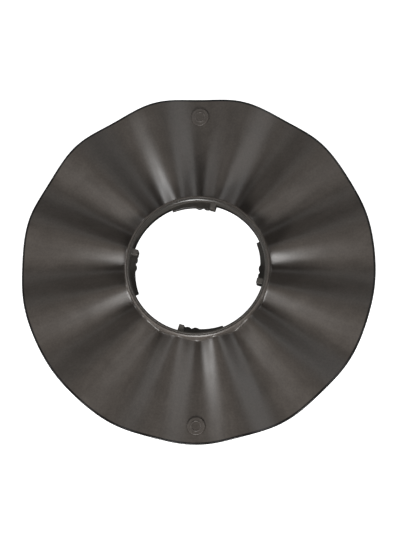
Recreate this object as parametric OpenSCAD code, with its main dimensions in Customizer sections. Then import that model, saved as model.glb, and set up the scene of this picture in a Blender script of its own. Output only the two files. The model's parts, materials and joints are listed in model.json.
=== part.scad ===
// Wavy walking disc of a suction floor cleaner, with the bayonet ring that it turns on.
// The origin is on the axis at the ring's lower rim, +Z points to the side with the lugs' ramps.

/* [Disc] */
// Outside diameter of the disc
disc_d = 400; // [340:5:440]
// Thickness of the disc, square to its face
disc_t = 3; // [2:0.2:3.4]
// Height of the disc's upper face, half way between crest and trough
disc_z = 11.6; // [11.4:0.1:14]
// Number of waves round the disc
wave_n = 12; // [6:1:16]
// Height of a crest above that middle, and depth of a trough below it
wave_h = 6.4; // [2:0.2:6.4]

/* [Hub] */
// Bore that the cleaner's foot fills
bore_d = 152.4; // [140:0.2:160]
// Height of the hub from its lower rim to its upper rim
hub_h = 24; // [23:0.5:30]
// Wall of the rigid ring
ring_wall = 2.5; // [2.2:0.1:4]
// Wall of the soft collar round the ring
collar_wall = 2.4; // [2.2:0.1:4]
// Gap that lets the collar turn on the ring
gap = 0.3; // [0.2:0.05:0.5]
// Thickness of the ring's foot flange, which carries the collar
flange_t = 1.6; // [1:0.1:1.8]
// How far the snap bead stands out of the ring
bead = 0.8; // [0.4:0.1:1]

/* [Bayonet lugs] */
// Number of lugs in the bore
lug_n = 4; // [2:1:4]
// Sweep of one lug, in degrees
lug_sweep = 39.5; // [30:0.5:60]
// Height of the lugs' undersides above the lower rim
lug_z = 7; // [5:0.5:8]
// Thickness of a lug at its teeth
lug_t = 8; // [6:0.5:9]
// Thickness of a lug at its tail, where the ramp begins
tail_t = 5; // [3:0.5:6]
// How far the teeth stand into the bore
tooth_reach = 7.4; // [6:0.1:10]
// How far the stop block's top lies below the upper rim
stop_drop = 1.4; // [0.5:0.1:3]
// Height of the relief groove under the lugs
relief_h = 1.8; // [1.6:0.1:2.4]
// Depth of the relief groove
relief_depth = 0.8; // [0.4:0.1:1]
// Wall left between the relief groove and the lugs
relief_roof = 0.4; // [0.3:0.1:0.6]

/* [Hidden] */

// Rigid ring and soft collar
bore_r = bore_d / 2;
ring_r = bore_r + ring_wall;
collar_bore_r = ring_r + gap;
collar_r = collar_bore_r + collar_wall;
collar_z = flange_t + gap;
bead_z = hub_h / 2;
bead_half = 1.2;
relief_z = lug_z - relief_roof - relief_h;
edge = 0.4;

// Lug angles run counterclockwise from the stop block's free side
first_lug = -15.8;
stop_sweep = 4.5;
stop_reach = tooth_reach - 0.2;
notch_reach = tooth_reach - 1.7;
heel_reach = tooth_reach - 1.8;
tail_reach = tooth_reach - 3.1;
heel_sweep = 18.3;
ramp_run = (bore_r - heel_reach) * sin(lug_sweep - heel_sweep);
ramp_angle = atan((lug_t - tail_t) / ramp_run);
back_r = bore_r + ring_wall / 2;
back_step = 0.5;

// Wavy sheet
disc_r = disc_d / 2;
root_r = collar_r - 0.8;
crest_turn = 15;
around = 12 * wave_n;
rings = 7;
layer = around * (rings + 1);

$fn = 180;

// Height of the sheet's upper face at angle a: the same from hub to rim
function top_z(a) = disc_z + wave_h * cos(wave_n * (a - crest_turn));

// Rise of the sheet per millimetre of arc
function slope(r, a) = wave_h * wave_n * sin(wave_n * (a - crest_turn)) / r;

// Height of the lower face, a full thickness below when measured square to the sheet
function low_z(r, a) = top_z(a) - disc_t * sqrt(1 + pow(slope(r, a), 2));

// The rings of points lie closer together near the hub, where the sheet is steepest
function ring_at(j) = root_r * pow(disc_r / root_r, j / rings);

function at(r, a, z) = [r * cos(a), r * sin(a), z];

function plan(r, a) = [r * cos(a), r * sin(a)];

function inner_edge() = [
    [0, stop_reach], [stop_sweep, stop_reach], [5.3, tooth_reach - 0.7],
    [6, tooth_reach], [9.3, tooth_reach], [11, notch_reach],
    [13.4, tooth_reach - 0.2], [14.9, tooth_reach], [16.6, tooth_reach - 0.5],
    [heel_sweep, heel_reach],
    [(heel_sweep + lug_sweep) / 2, (heel_reach + tail_reach) / 2],
    [lug_sweep, tail_reach],
];

module wave_sheet() {
    steps = [for (i = [0 : around - 1]) 360 * i / around];
    tops = [for (j = [0 : rings]) for (a = steps) at(ring_at(j), a, top_z(a))];
    lows = [for (j = [0 : rings]) for (a = steps) at(ring_at(j), a, low_z(ring_at(j), a))];
    skins = [
        for (j = [0 : rings - 1])
            for (i = [0 : around - 1])
                let (
                    next = (i + 1) % around,
                    a = j * around + i,
                    b = j * around + next,
                    c = b + around,
                    d = a + around
                )
                each [
                    [a, b, c],
                    [a, c, d],
                    [a + layer, c + layer, b + layer],
                    [a + layer, d + layer, c + layer],
                ]
    ];
    rim = [
        for (i = [0 : around - 1])
            let (
                next = (i + 1) % around,
                a = rings * around + i,
                b = rings * around + next
            )
            each [
                [a, b, b + layer],
                [a, b + layer, a + layer],
                [i, next + layer, next],
                [i, i + layer, next + layer],
            ]
    ];
    polyhedron(points = concat(tops, lows), faces = concat(skins, rim));
}

module collar() {
    groove_r = collar_bore_r + bead;
    groove_half = bead_half + gap;
    rotate_extrude()
        polygon([
            [collar_bore_r, collar_z],
            [collar_r, collar_z],
            [collar_r, hub_h - edge],
            [collar_r - edge, hub_h],
            [collar_bore_r, hub_h],
            [collar_bore_r, bead_z + groove_half],
            [groove_r, bead_z + groove_half - bead],
            [groove_r, bead_z - groove_half + bead],
            [collar_bore_r, bead_z - groove_half],
        ]);
}

module wave_disc() {
    color([0.30, 0.29, 0.27])
        union() {
            collar();
            wave_sheet();
        }
}

module ring_body() {
    rotate_extrude()
        polygon([
            [bore_r, 0],
            [collar_r - edge, 0],
            [collar_r, edge],
            [collar_r, flange_t],
            [ring_r, flange_t],
            [ring_r, bead_z - bead_half],
            [ring_r + bead, bead_z - bead_half + bead],
            [ring_r + bead, bead_z + bead_half - bead],
            [ring_r, bead_z + bead_half],
            [ring_r, hub_h],
            [bore_r, hub_h],
            [bore_r, relief_z + relief_h],
            [bore_r + relief_depth, relief_z + relief_h],
            [bore_r + relief_depth, relief_z],
            [bore_r, relief_z],
        ]);
}

// Solid from the ring's wall inwards, over part of a lug's sweep
module wall_block(edge_points, z, h) {
    sweep = edge_points[len(edge_points) - 1][0];
    back = [for (a = [sweep : -back_step : 0]) plan(back_r, a)];
    front = [for (p = edge_points) plan(bore_r - p[1], p[0])];
    translate([0, 0, z])
        linear_extrude(height = h)
            polygon(concat(front, back));
}

module lug() {
    stop_edge = [[0, stop_reach], [stop_sweep, stop_reach]];
    wall_block(stop_edge, lug_z, hub_h - stop_drop - lug_z);
    difference() {
        wall_block(inner_edge(), lug_z, lug_t);
        rotate([0, 0, lug_sweep])
            translate([bore_r, 0, lug_z + tail_t])
                rotate([-ramp_angle, 0, 0])
                    translate([-bore_r / 2, -bore_r, 0])
                        cube([bore_r, 2 * bore_r, lug_t]);
    }
}

module bayonet_ring() {
    color([0.33, 0.32, 0.30])
        union() {
            // The ring's seam lies in a gap between two lugs
            rotate([0, 0, 180 / lug_n])
                ring_body();
            for (k = [0 : lug_n - 1])
                rotate([0, 0, first_lug + 360 * k / lug_n])
                    lug();
        }
}

bayonet_ring();
wave_disc();
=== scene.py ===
import json
import math

import bmesh
import bpy
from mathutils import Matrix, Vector


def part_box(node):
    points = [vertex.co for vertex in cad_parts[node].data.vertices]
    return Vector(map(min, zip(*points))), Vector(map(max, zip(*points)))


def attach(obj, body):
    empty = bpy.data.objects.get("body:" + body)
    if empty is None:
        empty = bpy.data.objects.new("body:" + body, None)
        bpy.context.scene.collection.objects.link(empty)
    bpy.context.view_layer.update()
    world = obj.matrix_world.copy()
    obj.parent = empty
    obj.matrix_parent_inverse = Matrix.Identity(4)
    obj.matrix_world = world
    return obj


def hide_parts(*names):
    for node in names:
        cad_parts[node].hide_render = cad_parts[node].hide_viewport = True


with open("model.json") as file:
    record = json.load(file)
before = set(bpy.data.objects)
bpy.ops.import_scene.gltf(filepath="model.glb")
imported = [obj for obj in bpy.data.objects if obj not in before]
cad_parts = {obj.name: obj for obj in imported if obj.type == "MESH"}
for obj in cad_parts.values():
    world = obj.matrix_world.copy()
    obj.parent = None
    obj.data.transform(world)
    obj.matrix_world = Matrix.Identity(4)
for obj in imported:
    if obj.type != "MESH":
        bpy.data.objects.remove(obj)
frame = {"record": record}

bl_info = {
    "name": "Wavy walking disc",
    "version": (1, 0, 0),
    "blender": (4, 5, 0),
    "location": "View3D > Sidebar > Disc",
    "description": "Finishes a floor cleaner's wavy disc and bayonet ring around their CAD frame",
    "category": "Add Mesh",
}

MM = 0.001
TAU = 2 * math.pi
# Degrees from a lug's free side to its heel, where the ramp ends, and to its tail
HEEL, TAIL = 18.3, 39.5
# How far a raised mark is sunk into the sheet
MARK_SINK = 0.3 * MM
# Width over which a worn or dark edge fades into the face beside it
EDGE_FADE = 0.4 * MM
# Width of the shaded wall between the relief groove and the plain wall above it
WALL_FADE = 5 * MM
# Steps round the axis: in one wave, in the ring and in a mark
WAVE_STEPS, RING_STEPS, MARK_STEPS = 60, 360, 96
# Folds sharper than this are creased, on the mouldings and on the marks
CREASE, MARK_CREASE = math.radians(40), math.radians(60)
# Lower limit of a sweep that has none
NO_FLOOR = -1.0
# Softboxes stand this far from the hub, in metres
SOFTBOX_DISTANCE = 1.8

# What the CAD frame fixes: the overall box, each node's box and the bore that the foot fills
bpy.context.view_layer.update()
DISC_LOW, DISC_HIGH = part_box("wave_disc")
RING_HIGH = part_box("bayonet_ring")[1]
FOOT_BORE = next(m for m in frame["record"]["mounts"] if m["name"] == "foot_bore")


# Sizes and colours that a user would change

def length(label, words, millimetres):
    return bpy.props.FloatProperty(
        name=label, description=words, default=millimetres * MM,
        min=0, precision=5, subtype="DISTANCE", unit="LENGTH",
    )


def angle(label, words, degrees):
    return bpy.props.FloatProperty(
        name=label, description=words, default=math.radians(degrees),
        subtype="ANGLE", unit="ROTATION",
    )


def colour(label, words, rgb):
    return bpy.props.FloatVectorProperty(
        name=label, description=words, default=rgb, size=3, min=0, max=1, subtype="COLOR",
    )


def share(label, words, default):
    return bpy.props.FloatProperty(
        name=label, description=words, default=default, min=0, max=1, subtype="FACTOR",
    )


def count(label, words, default):
    return bpy.props.IntProperty(name=label, description=words, default=default, min=1)


class DiscSizes(bpy.types.PropertyGroup):
    """Sizes of the flexible disc"""
    outer_radius: length("Outer radius", "Axis to the disc's edge", DISC_HIGH.x / MM)
    waves: count("Waves", "Waves round the disc", 12)
    wave_height: length("Wave height", "Height of a crest above the disc's middle", 6.4)
    crest_turn: angle("Crest turn", "Angle of the first crest from +X", 15)
    thickness: length("Thickness", "Thickness of the sheet, square to its face", 3)
    middle: length("Middle height", "Height of the upper face between crest and trough", 11.6)
    edge_round: length("Edge round", "Rounding of the disc's outer edge", 1.1)
    # The rim band is darkened by painted shade
    rim_shade_band: length("Rim band", "Width of the darker band inside the edge's rounding", 1.1)
    root_fillet: length("Root fillet", "Fillet where the sheet meets the collar", 2.2)
    collar_radius: length("Collar radius", "Axis to the outside of the collar", 81.4)
    collar_bore: length("Collar bore", "Axis to the inside of the collar", 79)
    collar_edge: length("Collar edge", "Chamfer on the collar's outer upper edge", 1.2)
    groove_depth: length("Groove depth", "Depth of the groove for the ring's snap bead", 0.8)
    groove_half: length("Groove half height", "Half the groove's height at the bore", 1.5)
    mark_place: length("Mark place", "Axis to the centre of each raised mark", 179.1)
    mark_radius: length("Mark radius", "Radius of a raised mark", 9.9)
    mark_rise: length("Mark rise", "Height of a raised mark above the sheet", 1.1)
    mark_ring: length("Mark ring", "Radius of the bead on a mark", 5.6)
    mark_bead_half: length("Mark bead half width", "Half the width of a mark's bead", 0.5)
    mark_bead_rise: length("Mark bead rise", "Height of a mark's bead above its pad", 0.35)


class RingSizes(bpy.types.PropertyGroup):
    """Sizes of the rigid bayonet ring"""
    bore: length("Bore radius", "Axis to the bore's wall", FOOT_BORE["dims"]["r_mm"])
    wall_radius: length("Wall radius", "Axis to the outside of the wall", 78.7)
    flange_radius: length("Flange radius", "Axis to the edge of the foot flange", 81.4)
    flange: length("Flange thickness", "Thickness of the foot flange", 1.6)
    edge_round: length("Edge round", "Rounding of the ring's outer edges", 0.5)
    bore_edge: length("Bore edge", "Chamfer on the bore's upper edge", 0.75)
    bead: length("Snap bead", "How far the snap bead stands out", 0.8)
    bead_half: length("Snap bead half height", "Half the snap bead's height at the wall", 1.2)
    relief: length("Relief depth", "Depth of the groove under the lugs", 0.8)
    relief_drop: length("Relief drop", "Lugs' undersides to the top of the groove", 0.4)
    relief_height: length("Relief height", "Height of the groove under the lugs", 1.8)
    lugs: count("Lugs", "Lugs in the bore", 4)
    first_lug: angle("First lug", "Angle of the first lug's free side from +X", -15.8)
    lug_height: length("Lug height", "Height of the lugs' undersides", 7)
    lug_thickness: length("Lug thickness", "Thickness of a lug at its teeth", 8)
    tail_thickness: length("Tail thickness", "Thickness of a lug where its ramp begins", 5)
    tooth_reach: length("Tooth reach", "How far the teeth stand into the bore", 7.4)
    stop_drop: length("Stop drop", "Upper rim to the top of a stop block", 1.4)
    stop_angle: angle("Stop angle", "How far a stop block reaches round the bore", 4.6)
    lug_round: length("Lug round", "Rounding of a lug's edges", 0.35)


class Finishes(bpy.types.PropertyGroup):
    """Colours and gloss of the mouldings"""
    disc_colour: colour("Disc colour", "Colour of the flexible moulding", (0.0697, 0.060, 0.0523))
    ring_colour: colour("Ring colour", "Colour of the rigid moulding", (0.069, 0.063, 0.056))
    disc_roughness: share("Disc roughness", "Roughness of the flexible moulding", 0.39)
    ring_roughness: share("Ring roughness", "Roughness of the rigid moulding", 0.33)
    wear: share("Edge wear", "How far edges are paled by rubbing", 0.35)
    floor_colour: colour("Floor colour", "Colour of the studio floor", (0.86, 0.86, 0.86))


# Short calls for node trees

class Nodes:
    """Adds and links the nodes of one tree, of geometry or of a material."""

    def __init__(self, tree):
        self.tree = tree

    def add(self, kind, inputs=None, **settings):
        made = self.tree.nodes.new(kind)
        for name, setting in settings.items():
            setattr(made, name, setting)
        for socket, source in (inputs or {}).items():
            if isinstance(source, bpy.types.NodeSocket):
                self.tree.links.new(source, made.inputs[socket])
            else:
                made.inputs[socket].default_value = source
        return made

    def math(self, operation, *terms):
        return self.add("ShaderNodeMath", dict(enumerate(terms)), operation=operation).outputs[0]

    def whole(self, operation, *terms):
        node = self.add("FunctionNodeIntegerMath", dict(enumerate(terms)), operation=operation)
        return node.outputs[0]

    def total(self, first, *others):
        for term in others:
            first = self.math("ADD", first, term)
        return first

    def product(self, first, *others):
        for term in others:
            first = self.math("MULTIPLY", first, term)
        return first


class GeometryTree(Nodes):
    """A Geometry Nodes tree with named inputs and one geometry in and out."""

    def __init__(self, name, **inputs):
        super().__init__(bpy.data.node_groups.new(name, "GeometryNodeTree"))
        sockets = self.tree.interface
        sockets.new_socket("Geometry", in_out="INPUT", socket_type="NodeSocketGeometry")
        sockets.new_socket("Geometry", in_out="OUTPUT", socket_type="NodeSocketGeometry")
        for label, kind in inputs.items():
            sockets.new_socket(label, in_out="INPUT", socket_type="NodeSocket" + kind)
        self.given = self.tree.nodes.new("NodeGroupInput").outputs
        self.result = self.tree.nodes.new("NodeGroupOutput")

    def finish(self, geometry):
        real = self.add("GeometryNodeRealizeInstances", {"Geometry": geometry})
        coated = self.add(
            "GeometryNodeSetMaterial",
            {"Geometry": real.outputs[0], "Material": self.given["Finish"]},
        )
        self.tree.links.new(coated.outputs[0], self.result.inputs[0])
        return self.tree


def made_by(tree, name, mesh, **inputs):
    """The plain mesh object that a tree makes from a mesh."""
    piece = bpy.data.objects.new(name, mesh)
    bpy.context.scene.collection.objects.link(piece)
    modifier = piece.modifiers.new(tree.name, "NODES")
    modifier.node_group = tree
    for item in tree.interface.items_tree:
        if item.in_out == "INPUT" and item.name in inputs:
            modifier[item.identifier] = inputs[item.name]
    graph = bpy.context.evaluated_depsgraph_get()
    result = bpy.data.meshes.new_from_object(piece.evaluated_get(graph))
    piece.modifiers.clear()
    piece.data = result
    result.name = name
    bpy.data.meshes.remove(mesh)
    return piece


# Outlines that are swept round the axis. A point is (radius, height, follows the wave, lies on
# the underside, wear or painted shade), and an outline runs counterclockwise. Its last value is 1
# where rubbing pales the polymer and -1 where painted shade darkens it.

def arc(centre, radius, start, end, steps=6, wave=0.0, under=0.0, edge=0.0):
    points = []
    for i in range(steps + 1):
        turn = math.radians(start + (end - start) * i / steps)
        place = (centre[0] + radius * math.cos(turn), centre[1] + radius * math.sin(turn))
        points.append((*place, wave, under, edge))
    return points


def line(start, end, steps):
    """Points between two others, which are left out."""
    return [
        tuple(a + (b - a) * i / steps for a, b in zip(start, end))
        for i in range(1, steps)
    ]


def outline_mesh(points):
    mesh = bpy.data.meshes.new("outline")
    edges = [(i, (i + 1) % len(points)) for i in range(len(points))]
    mesh.from_pydata([(p[0], 0, p[1]) for p in points], edges, [])
    for place, name in ((2, "wave"), (3, "under"), (4, "edge")):
        values = mesh.attributes.new(name, "FLOAT", "POINT").data
        values.foreach_set("value", [p[place] for p in points])
    return mesh


def disc_outline(sizes, hub_height, foot):
    """Cross-section of the disc where its wave is at middle height."""
    outer, rim, fillet = sizes.outer_radius, sizes.edge_round, sizes.root_fillet
    top, low = sizes.middle, sizes.middle - sizes.thickness
    wall, bore, crown = sizes.collar_radius, sizes.collar_bore, sizes.collar_edge
    foot_fillet, inner = fillet / 3, crown / 3
    reach = outer - rim
    sheet_steps = 30

    def stations(height, under, radii):
        return [(r, height, 1.0, under, 0.0) for r in radii]

    root = wall + fillet
    ratio = ((reach - sizes.rim_shade_band - EDGE_FADE) / root) ** (1 / sheet_steps)
    radii = [root * ratio ** i for i in range(1, sheet_steps + 1)]
    upper_root = (wall, top + fillet, 1.0, 0.0, 0.0)
    crown_foot = (wall, hub_height - crown, 0.0, 0.0, 1.0)
    lower_root = (wall, low - foot_fillet, 1.0, 1.0, 0.0)
    lower_corner = (wall, foot, 0.0, 0.0, 0.0)
    return [
        *arc((bore + inner, hub_height - inner), inner, 90, 180),
        *[(r, z, 0.0, 0.0, 0.0) for r, z in collar_groove(sizes, hub_height / 2)],
        (bore, foot, 0.0, 0.0, 0.0),
        lower_corner,
        *line(lower_corner, lower_root, 5),
        *arc((wall + foot_fillet, low - foot_fillet), foot_fillet, 180, 90, wave=1.0, under=1.0),
        *stations(low, 1.0, radii),
        # Painted shade: the rounded rim and a band inside it are darkened into a dark outline
        *arc((reach, low + rim), rim, 270, 360, wave=1.0, under=1.0, edge=-1.0),
        *arc((reach, top - rim), rim, 0, 90, wave=1.0, edge=-1.0),
        (reach - sizes.rim_shade_band, top, 1.0, 0.0, -1.0),
        *stations(top, 0.0, radii[::-1]),
        *arc((wall + fillet, top + fillet), fillet, 270, 180, wave=1.0),
        *line(upper_root, crown_foot, 6),
        *arc((wall - crown, hub_height - crown), crown, 0, 90, steps=1, edge=1.0),
    ]


def collar_groove(sizes, middle):
    """The groove in the collar's bore, from its upper to its lower side."""
    bore, deep = sizes.collar_bore, sizes.collar_bore + sizes.groove_depth
    half, floor = sizes.groove_half, sizes.groove_half - sizes.groove_depth
    return [
        (bore, middle + half), (deep, middle + floor), (deep, middle - floor),
        (bore, middle - half),
    ]


def ring_outline(sizes, height):
    """Cross-section of the ring's wall, foot flange, snap bead and relief groove."""
    bore, wall, flange = sizes.bore, sizes.wall_radius, sizes.flange_radius
    soft, lip, deep = sizes.edge_round, sizes.bore_edge, sizes.bore + sizes.relief
    bead_low, bead_high = height / 2 - sizes.bead_half, height / 2 + sizes.bead_half
    groove_high = sizes.lug_height - sizes.relief_drop
    groove_low = groove_high - sizes.relief_height
    plain = [
        (wall, sizes.flange), (wall, bead_low),
        (wall + sizes.bead, bead_low + sizes.bead), (wall + sizes.bead, bead_high - sizes.bead),
        (wall, bead_high),
    ]
    relief = [(bore, groove_high), (deep, groove_high), (deep, groove_low), (bore, groove_low)]
    return [
        # Painted shade: the bore's lower rounded edge is darkened
        *arc((bore + soft, soft), soft, 180, 270, edge=-1.0),
        *arc((flange - soft, soft), soft, 270, 360, edge=0.6),
        (flange, sizes.flange, 0.0, 0.0, 0.6),
        *[(*point, 0.0, 0.0, 0.0) for point in plain],
        (wall, height - soft - EDGE_FADE, 0.0, 0.0, 0.0),
        *arc((wall - soft, height - soft), soft, 0, 90, edge=1.0),
        (wall - soft - EDGE_FADE, height, 0.0, 0.0, 0.0),
        # Painted shade: the bore's upper chamfer is a little darkened
        *arc((bore + lip, height - lip), lip, 90, 180, steps=1, edge=-0.3),
        (bore, height - lip - EDGE_FADE, 0.0, 0.0, 0.0),
        # Painted shade: the relief groove is darkened, fading out up the bore wall over WALL_FADE
        (bore, groove_high + WALL_FADE, 0.0, 0.0, 0.0),
        *[(*point, 0.0, 0.0, -1.0) for point in relief],
    ]


def lug_edge(sizes):
    """Inner edge of a lug as (degrees from its free side, reach into the bore)."""
    tooth, heel, tail = sizes.tooth_reach, sizes.tooth_reach - 1.8 * MM, sizes.tooth_reach - 3.1 * MM
    teeth = [
        (0, tooth - 0.2 * MM), (4.5, tooth - 0.2 * MM), (5.3, tooth - 0.7 * MM),
        (6, tooth - 0.2 * MM), (7, tooth), (8.6, tooth), (9.5, tooth - 0.3 * MM),
        (11, tooth - 1.7 * MM), (12.4, tooth - 0.9 * MM), (13.5, tooth - 0.1 * MM),
        (14.9, tooth), (16.3, tooth - 0.4 * MM), (HEEL, heel),
    ]
    ledge = [HEEL + (TAIL - HEEL) * i / 11 for i in range(1, 12)]
    return teeth + [(a, heel + (tail - heel) * (a - HEEL) / (TAIL - HEEL)) for a in ledge]


def wall_block(shape, sizes, edge, low, top_at):
    """Adds a block that stands from the ring's wall into the bore, along an inner edge."""
    back = (sizes.bore + sizes.wall_radius) / 2
    rows = []
    for turn, reach in edge:
        turned = math.radians(turn)
        corners = [
            (sizes.bore - reach, low), (sizes.bore - reach, top_at(turn)),
            (back, top_at(turn)), (back, low),
        ]
        rows.append([
            shape.verts.new((r * math.cos(turned), r * math.sin(turned), z)) for r, z in corners
        ])
    for first, second in zip(rows, rows[1:]):
        for i in range(4):
            j = (i + 1) % 4
            shape.faces.new((first[i], first[j], second[j], second[i]))
    shape.faces.new(rows[0][::-1])
    shape.faces.new(rows[-1])


def lug_mesh(sizes, hub_height):
    """One lug: a ledge with two teeth, its ramp and the stop block, with rounded edges."""
    shape = bmesh.new()
    low, full = sizes.lug_height, sizes.lug_thickness
    fall = full - sizes.tail_thickness

    def ledge_top(turn):
        return low + full - fall * max(0, turn - HEEL) / (TAIL - HEEL)

    wall_block(shape, sizes, lug_edge(sizes), low, ledge_top)
    # The stop block stands a hair proud of the ledge that it crosses
    hair, stop_reach = 0.1 * MM, sizes.tooth_reach - 0.1 * MM
    stop = [(-0.2, stop_reach), (math.degrees(sizes.stop_angle), stop_reach)]
    wall_block(shape, sizes, stop, low - hair, lambda turn: hub_height - sizes.stop_drop)
    bmesh.ops.recalc_face_normals(shape, faces=shape.faces)
    sharp = [e for e in shape.edges if e.calc_face_angle(0) > math.radians(25)]
    bmesh.ops.bevel(
        shape, geom=sharp, offset=sizes.lug_round, offset_type="OFFSET", segments=3,
        profile=0.5, affect="EDGES", clamp_overlap=True,
    )
    shade = shape.verts.layers.float.new("edge")
    # The stop block's top is paled; the lug faces that stand into the bore are darkened with painted
    # shade
    for corner in shape.verts:
        on_stop = corner.co.z > low + full + MM
        inward = corner.co.xy.length < sizes.bore - MM
        corner[shade] = 0.4 if on_stop else -0.5 if inward else 0.0
    mesh = bpy.data.meshes.new("lug")
    shape.to_mesh(mesh)
    shape.free()
    return mesh


def pad_outline(radius, rise):
    """A low round pad with a soft edge, whose foot lies just under the sheet."""
    foot, soft = -MARK_SINK, rise / 2
    # Painted shadow: the pad's foot is darkened where it meets the sheet
    low_hub, low_edge = (0.0, foot, 0.0, 0.0, 0.0), (radius, foot, 0.0, 0.0, -1.0)
    top_hub, top_edge = (0.0, rise, 0.0, 0.0, 0.0), (radius - soft, rise, 0.0, 0.0, 0.5)
    return [
        low_hub, *line(low_hub, low_edge, 6), low_edge,
        *arc((radius - soft, rise - soft), soft, 0, 80, edge=0.5),
        top_edge, *line(top_edge, top_hub, 6), top_hub,
    ]


def bead_outline(radius, half_width, level, rise):
    """A round bead that stands on a level and is sunk a little into it."""
    crown = [
        (radius + half_width * math.cos(t), level + rise * math.sin(t), 0.0, 0.0, 0.7)
        for t in (math.pi * i / 8 for i in range(9))
    ]
    foot = level - MARK_SINK
    inside, outside = radius - half_width, radius + half_width
    return [(inside, foot, 0.0, 0.0, 0.0), (outside, foot, 0.0, 0.0, 0.0), *crown]


def sweep_tree():
    """Sweeps an outline round the axis, and lifts what follows the wave by the disc's rule."""
    tree = GeometryTree(
        "Sweep round the axis", Steps="Int", Waves="Int", **{"Wave height": "Float"},
        **{"Crest turn": "Float"}, Thickness="Float", Floor="Float", Crease="Float",
        Finish="Material",
    )
    given = tree.given
    outline = given["Geometry"]
    size = tree.add(
        "GeometryNodeAttributeDomainSize", {"Geometry": outline}, component="MESH",
    ).outputs["Point Count"]
    rows = tree.whole("ADD", size, 1)
    grid = tree.add(
        "GeometryNodeMeshGrid",
        {"Vertices X": tree.whole("ADD", given["Steps"], 1), "Vertices Y": rows},
    ).outputs["Mesh"]
    index = tree.add("GeometryNodeInputIndex").outputs[0]
    column = tree.whole("MODULO", tree.whole("DIVIDE_FLOOR", index, rows), given["Steps"])
    row = tree.whole("MODULO", tree.whole("MODULO", index, rows), size)

    def of_outline(field, kind="FLOAT"):
        sample = tree.add(
            "GeometryNodeSampleIndex", {"Geometry": outline, "Value": field, "Index": row},
            data_type=kind, domain="POINT",
        )
        return sample.outputs["Value"]

    def named(name):
        stored = tree.add(
            "GeometryNodeInputNamedAttribute", {"Name": name}, data_type="FLOAT",
        )
        return of_outline(stored.outputs["Attribute"])

    place = tree.add("GeometryNodeInputPosition").outputs[0]
    point = tree.add("ShaderNodeSeparateXYZ", {0: of_outline(place, "FLOAT_VECTOR")})
    radius, height = point.outputs["X"], point.outputs["Z"]
    turn = tree.math("DIVIDE", tree.product(column, TAU), given["Steps"])
    phase = tree.product(given["Waves"], tree.math("SUBTRACT", turn, given["Crest turn"]))
    lift = tree.product(given["Wave height"], tree.math("COSINE", phase), named("wave"))
    rise = tree.product(given["Wave height"], given["Waves"], tree.math("SINE", phase))
    slope = tree.math("DIVIDE", rise, tree.math("MAXIMUM", radius, MM))
    stretch = tree.math("SQRT", tree.total(tree.product(slope, slope), 1.0))
    extra = tree.product(
        given["Thickness"], named("under"), tree.math("SUBTRACT", stretch, 1.0),
    )
    level = tree.math("SUBTRACT", tree.total(height, lift), extra)
    position = tree.add("ShaderNodeCombineXYZ", {
        "X": tree.product(radius, tree.math("COSINE", turn)),
        "Y": tree.product(radius, tree.math("SINE", turn)),
        "Z": tree.math("MAXIMUM", level, given["Floor"]),
    }).outputs[0]
    worn_and_shaded = tree.add(
        "GeometryNodeStoreNamedAttribute",
        {"Geometry": grid, "Name": "edge", "Value": named("edge")},
        data_type="FLOAT", domain="POINT",
    )
    moved = tree.add(
        "GeometryNodeSetPosition", {"Geometry": worn_and_shaded.outputs[0], "Position": position},
    )
    closed = tree.add(
        "GeometryNodeMergeByDistance", {"Geometry": moved.outputs[0], "Distance": MM / 200},
    )
    smooth = tree.add("GeometryNodeSetShadeSmooth", {"Geometry": closed.outputs[0]})
    fold = tree.add("GeometryNodeInputMeshEdgeAngle").outputs["Unsigned Angle"]
    sharp = tree.add(
        "FunctionNodeCompare", {0: fold, 1: given["Crease"]},
        data_type="FLOAT", operation="GREATER_THAN",
    ).outputs[0]
    creased = tree.add(
        "GeometryNodeSetShadeSmooth",
        {"Geometry": smooth.outputs[0], "Selection": sharp, "Shade Smooth": False},
        domain="EDGE",
    )
    return tree.finish(creased.outputs[0])


def ring_tree(sweep):
    """The swept ring, with its lugs set round the bore."""
    tree = GeometryTree(
        "Ring with lugs", Steps="Int", Crease="Float", Lug="Object", Lugs="Int",
        **{"First lug": "Float"}, Finish="Material",
    )
    given = tree.given
    body = tree.tree.nodes.new("GeometryNodeGroup")
    body.node_tree = sweep
    for name in ("Geometry", "Steps", "Crease", "Finish"):
        tree.tree.links.new(given[name], body.inputs[name])
    for name, still in (("Waves", 1), ("Wave height", 0.0), ("Thickness", 0.0)):
        body.inputs[name].default_value = still
    lug = tree.add("GeometryNodeObjectInfo", {"Object": given["Lug"]}).outputs["Geometry"]
    seats = tree.add("GeometryNodeMeshLine", {"Count": given["Lugs"], "Offset": (0, 0, 0)})
    index = tree.add("GeometryNodeInputIndex").outputs[0]
    share_of_turn = tree.math("DIVIDE", tree.product(index, TAU), given["Lugs"])
    turned = tree.add(
        "ShaderNodeCombineXYZ", {"Z": tree.total(share_of_turn, given["First lug"])},
    )
    lugs = tree.add("GeometryNodeInstanceOnPoints", {
        "Points": seats.outputs[0], "Instance": lug, "Rotation": turned.outputs[0],
    })
    joined = tree.add("GeometryNodeJoinGeometry")
    for part in (lugs, body):
        tree.tree.links.new(part.outputs[0], joined.inputs[0])
    return tree.finish(joined.outputs[0])


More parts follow.
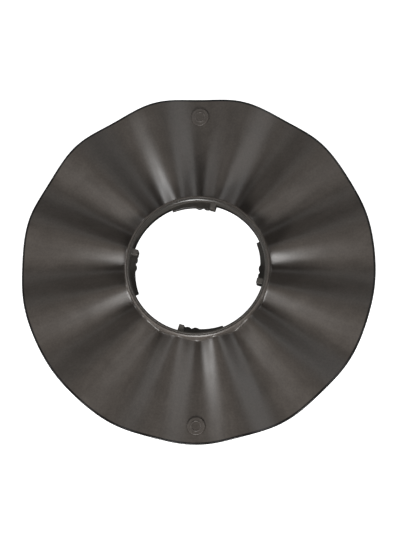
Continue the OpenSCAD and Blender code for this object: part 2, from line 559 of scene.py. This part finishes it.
def mark_tree():
    """Lays copies of a mark on the sheet, each in a trough or on a crest, as its turn says."""
    tree = GeometryTree(
        "Marks on the sheet", Marks="Int", Place="Float", Waves="Int",
        **{"First mark": "Float", "Wave height": "Float", "Crest turn": "Float"},
        Middle="Float", Finish="Material",
    )
    given = tree.given
    seats = tree.add("GeometryNodeMeshLine", {"Count": given["Marks"], "Offset": (0, 0, 0)})
    index = tree.add("GeometryNodeInputIndex").outputs[0]
    turn = tree.total(
        tree.math("DIVIDE", tree.product(index, TAU), given["Marks"]), given["First mark"],
    )
    outward = tree.add(
        "GeometryNodeTransform",
        {"Geometry": given["Geometry"],
         "Translation": tree.add("ShaderNodeCombineXYZ", {"X": given["Place"]}).outputs[0]},
    )
    placed = tree.add("GeometryNodeInstanceOnPoints", {
        "Points": seats.outputs[0], "Instance": outward.outputs[0],
        "Rotation": tree.add("ShaderNodeCombineXYZ", {"Z": turn}).outputs[0],
    })
    real = tree.add("GeometryNodeRealizeInstances", {"Geometry": placed.outputs[0]})
    point = tree.add(
        "ShaderNodeSeparateXYZ", {0: tree.add("GeometryNodeInputPosition").outputs[0]},
    )
    bearing = tree.math("ARCTAN2", point.outputs["Y"], point.outputs["X"])
    phase = tree.product(given["Waves"], tree.math("SUBTRACT", bearing, given["Crest turn"]))
    lift = tree.product(given["Wave height"], tree.math("COSINE", phase))
    offset = tree.add("ShaderNodeCombineXYZ", {"Z": tree.total(lift, given["Middle"])})
    laid = tree.add(
        "GeometryNodeSetPosition", {"Geometry": real.outputs[0], "Offset": offset.outputs[0]},
    )
    return tree.finish(laid.outputs[0])


# Finishes

def moulded_finish(name, base, roughness, wear, grain_depth, streaks):
    """Satin moulded polymer: fine spark texture, faint flow streaks, paled edges and painted shade.
    """
    material = bpy.data.materials.new(name)
    material.use_nodes = True
    tree = Nodes(material.node_tree)
    shader = material.node_tree.nodes["Principled BSDF"]
    place = tree.add("ShaderNodeTexCoord").outputs["Object"]

    def noise(scale, detail=2.0, vector=place):
        made = tree.add("ShaderNodeTexNoise", {
            "Vector": vector, "Scale": scale, "Detail": detail, "Roughness": 0.55,
        })
        return made.outputs["Fac"]

    def ranged(value, low, high, least, most):
        node = tree.add("ShaderNodeMapRange", {
            "Value": value, "From Min": low, "From Max": high, "To Min": least, "To Max": most,
        })
        return node.outputs["Result"]

    axes = tree.add("ShaderNodeSeparateXYZ", {0: place})
    flat = tree.add("ShaderNodeCombineXYZ", {"X": axes.outputs["X"], "Y": axes.outputs["Y"]})
    outward = tree.add("ShaderNodeVectorMath", {0: flat.outputs[0]}, operation="NORMALIZE")
    radius = tree.add("ShaderNodeVectorMath", {0: flat.outputs[0]}, operation="LENGTH")
    lifted = tree.add("ShaderNodeCombineXYZ", {"Z": radius.outputs["Value"]})
    polar = tree.add(
        "ShaderNodeVectorMath", {0: outward.outputs[0], 1: lifted.outputs[0]}, operation="ADD",
    )
    flow = noise(26.0, 3.0, polar.outputs[0])
    mottle = noise(55.0, 3.0)
    speckle = noise(450.0, 2.0)
    grain = noise(2600.0, 2.0)
    orange_peel = noise(420.0, 1.0)

    # The edge attribute is above 0 where rubbing pales the polymer, below 0 where painted shade
    # darkens it
    edge = tree.add("ShaderNodeAttribute", attribute_name="edge").outputs["Fac"]
    rubbed = tree.math("MAXIMUM", edge, 0.0)
    tone = tree.product(
        ranged(mottle, 0.3, 0.7, 0.93, 1.07), ranged(flow, 0.3, 0.7, 1 - streaks, 1 + streaks),
        ranged(speckle, 0.3, 0.7, 0.88, 1.12),
        # Painted shade: below 0 the edge attribute darkens the colour down to 8 %
        ranged(edge, -1.0, 0.0, 0.08, 1.0),
    )
    plain = tree.add("ShaderNodeVectorMath", {0: base, "Scale": tone}, operation="SCALE")
    patchy = tree.product(rubbed, ranged(noise(180.0, 3.0), 0.35, 0.65, 0.3, 1.0), wear)
    paled = (*[min(1, c * 2.4 + 0.02) for c in base], 1)
    worn_and_shaded = tree.add("ShaderNodeMix", {0: patchy, 6: plain.outputs[0], 7: paled}, data_type="RGBA")
    tree.tree.links.new(worn_and_shaded.outputs[2], shader.inputs["Base Color"])

    gloss = tree.total(
        ranged(mottle, 0.3, 0.7, roughness - 0.03, roughness + 0.03),
        ranged(flow, 0.3, 0.7, -streaks / 2, streaks / 2),
        tree.product(patchy, 0.2),
    )
    tree.tree.links.new(gloss, shader.inputs["Roughness"])
    relief = tree.total(tree.product(grain, 0.5), tree.product(orange_peel, 1.0))
    bump = tree.add("ShaderNodeBump", {"Height": relief, "Strength": 1.0, "Distance": grain_depth})
    tree.tree.links.new(bump.outputs[0], shader.inputs["Normal"])
    shader.inputs["IOR"].default_value = 1.5
    return material


def floor_finish(colour, glow):
    material = bpy.data.materials.new("studio_floor")
    material.use_nodes = True
    shader = material.node_tree.nodes["Principled BSDF"]
    shader.inputs["Base Color"].default_value = (*colour, 1)
    shader.inputs["Roughness"].default_value = 0.9
    shader.inputs["Emission Color"].default_value = (1, 1, 1, 1)
    shader.inputs["Emission Strength"].default_value = glow
    return material


# Pieces

class DISC_OT_wavy_disc(bpy.types.Operator):
    """Build the flexible disc with its waves and collar"""
    bl_idname = "disc.wavy_disc"
    bl_label = "Wavy disc"

    def execute(self, context):
        sizes, looks = context.scene.disc_sizes, context.scene.disc_finishes
        finish = moulded_finish(
            "disc_moulding", looks.disc_colour[:], looks.disc_roughness, looks.wear,
            grain_depth=0.02 * MM, streaks=0.05,
        )
        piece = made_by(
            sweep_tree(), "wavy_disc_moulding",
            outline_mesh(disc_outline(sizes, DISC_HIGH.z, DISC_LOW.z)),
            Steps=WAVE_STEPS * sizes.waves, Waves=sizes.waves, Thickness=sizes.thickness,
            Floor=DISC_LOW.z, Crease=CREASE, Finish=finish,
            **{"Wave height": sizes.wave_height, "Crest turn": sizes.crest_turn},
        )
        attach(piece, "disc")
        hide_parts("wave_disc")
        return {"FINISHED"}


class DISC_OT_marks(bpy.types.Operator):
    """Raise the two plain round marks near the disc's edge"""
    bl_idname = "disc.marks"
    bl_label = "Raised marks"

    def execute(self, context):
        sizes = context.scene.disc_sizes
        finish = bpy.data.materials["disc_moulding"]
        sweep = sweep_tree()
        pad = pad_outline(sizes.mark_radius, sizes.mark_rise)
        bead = bead_outline(
            sizes.mark_ring, sizes.mark_bead_half, sizes.mark_rise, sizes.mark_bead_rise,
        )
        for name, outline in (("mark_pads", pad), ("mark_beads", bead)):
            level = made_by(
                sweep, name, outline_mesh(outline), Steps=MARK_STEPS, Waves=1, Thickness=0.0,
                Floor=NO_FLOOR, Crease=MARK_CREASE, Finish=finish,
                **{"Wave height": 0.0, "Crest turn": 0.0},
            )
            flat = level.data
            bpy.data.objects.remove(level)
            piece = made_by(
                mark_tree(), name, flat, Marks=2, Place=sizes.mark_place, Waves=sizes.waves,
                Middle=sizes.middle, Finish=finish,
                **{"First mark": math.radians(90), "Wave height": sizes.wave_height,
                   "Crest turn": sizes.crest_turn},
            )
            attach(piece, "disc")
        return {"FINISHED"}


class DISC_OT_bayonet_ring(bpy.types.Operator):
    """Build the rigid ring"""
    bl_idname = "disc.bayonet_ring"
    bl_label = "Bayonet ring"

    def execute(self, context):
        sizes, looks = context.scene.ring_sizes, context.scene.disc_finishes
        finish = moulded_finish(
            "ring_moulding", looks.ring_colour[:], looks.ring_roughness, looks.wear,
            grain_depth=0.012 * MM, streaks=0.02,
        )
        lug = bpy.data.objects.new("lug", lug_mesh(sizes, RING_HIGH.z))
        piece = made_by(
            ring_tree(sweep_tree()), "bayonet_ring_moulding",
            outline_mesh(ring_outline(sizes, RING_HIGH.z)),
            Steps=RING_STEPS, Crease=CREASE, Lug=lug, Lugs=sizes.lugs, Finish=finish,
            **{"First lug": sizes.first_lug},
        )
        bpy.data.objects.remove(lug)
        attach(piece, "ring")
        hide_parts("bayonet_ring")
        return {"FINISHED"}


class DISC_OT_studio(bpy.types.Operator):
    """Set the floor, the lights, the surroundings and the camera"""
    bl_idname = "disc.studio"
    bl_label = "Studio"

    def execute(self, context):
        looks = context.scene.disc_finishes
        floor = bpy.data.meshes.new("studio_floor")
        half, level = 25, -0.2 * MM
        corners = [(-half, -half), (half, -half), (half, half), (-half, half)]
        floor.from_pydata([(x, y, level) for x, y in corners], [], [(0, 1, 2, 3)])
        ground = bpy.data.objects.new("studio_floor", floor)
        context.scene.collection.objects.link(ground)
        floor.materials.append(floor_finish(looks.floor_colour[:], 1.0))
        ground.visible_diffuse = False
        ground.visible_glossy = False

        soft_light("front_softbox", 270, 19, (0.7, 0.5), 39)
        soft_light("left_softbox", 181, 21, (0.7, 0.4), 14.5)
        soft_light("left_back_fill", 160, 18, (0.9, 0.6), 1.8)
        soft_light("left_front_fill", 208, 24, (0.9, 0.6), 1.2)
        soft_light("right_softbox", 15, 37, (2.3, 1.1), 15)
        soft_light("back_softbox", 95, 52, (1.6, 0.8), 2.6)
        sky = bpy.data.worlds.new("studio_air")
        sky.use_nodes = True
        sky.node_tree.nodes["Background"].inputs["Color"].default_value = (0.9, 0.9, 0.9, 1)
        sky.node_tree.nodes["Background"].inputs["Strength"].default_value = 0.02
        context.scene.world = sky
        context.scene.view_settings.view_transform = "Standard"

        lens = bpy.data.cameras.new("camera")
        lens.lens = 181
        lens.sensor_width = 36
        lens.clip_end = 100
        camera = bpy.data.objects.new("camera", lens)
        context.scene.collection.objects.link(camera)
        camera.location = (0.2105, -0.7214, 3.0017)
        camera.rotation_euler = [math.radians(a) for a in (13.493, 3.805, 0.714)]
        context.scene.camera = camera
        return {"FINISHED"}


def soft_light(name, azimuth, elevation, size, power):
    """A softbox that faces the hub. Azimuth is in degrees counterclockwise from +X."""
    lamp = bpy.data.lights.new(name, "AREA")
    lamp.shape = "RECTANGLE"
    lamp.size, lamp.size_y = size
    lamp.energy = power
    holder = bpy.data.objects.new(name, lamp)
    bpy.context.scene.collection.objects.link(holder)
    turn, tilt = math.radians(azimuth), math.radians(elevation)
    away = Vector((
        math.cos(turn) * math.cos(tilt), math.sin(turn) * math.cos(tilt), math.sin(tilt),
    ))
    holder.location = away * SOFTBOX_DISTANCE
    holder.rotation_euler = away.to_track_quat("Z", "Y").to_euler()


class DISC_PT_panel(bpy.types.Panel):
    """Lists the sizes, the finishes and the pieces to build"""
    bl_label = "Wavy walking disc"
    bl_idname = "DISC_PT_panel"
    bl_space_type = "VIEW_3D"
    bl_region_type = "UI"
    bl_category = "Disc"

    def draw(self, context):
        scene = context.scene
        for group in (scene.disc_sizes, scene.ring_sizes, scene.disc_finishes):
            box = self.layout.box()
            for name in group.bl_rna.properties.keys():
                if name not in ("rna_type", "name"):
                    box.prop(group, name)
        for operator in OPERATORS:
            self.layout.operator(operator.bl_idname)


OPERATORS = (DISC_OT_studio, DISC_OT_wavy_disc, DISC_OT_marks, DISC_OT_bayonet_ring)
GROUPS = {"disc_sizes": DiscSizes, "ring_sizes": RingSizes, "disc_finishes": Finishes}
CLASSES = (*GROUPS.values(), *OPERATORS, DISC_PT_panel)


def register():
    for cls in CLASSES:
        bpy.utils.register_class(cls)
    for name, group in GROUPS.items():
        setattr(bpy.types.Scene, name, bpy.props.PointerProperty(type=group))


def unregister():
    for name in GROUPS:
        delattr(bpy.types.Scene, name)
    for cls in reversed(CLASSES):
        bpy.utils.unregister_class(cls)


def main():
    register()
    bpy.ops.disc.studio()
    bpy.ops.disc.wavy_disc()
    bpy.ops.disc.marks()
    bpy.ops.disc.bayonet_ring()


if __name__ == "__main__":
    main()
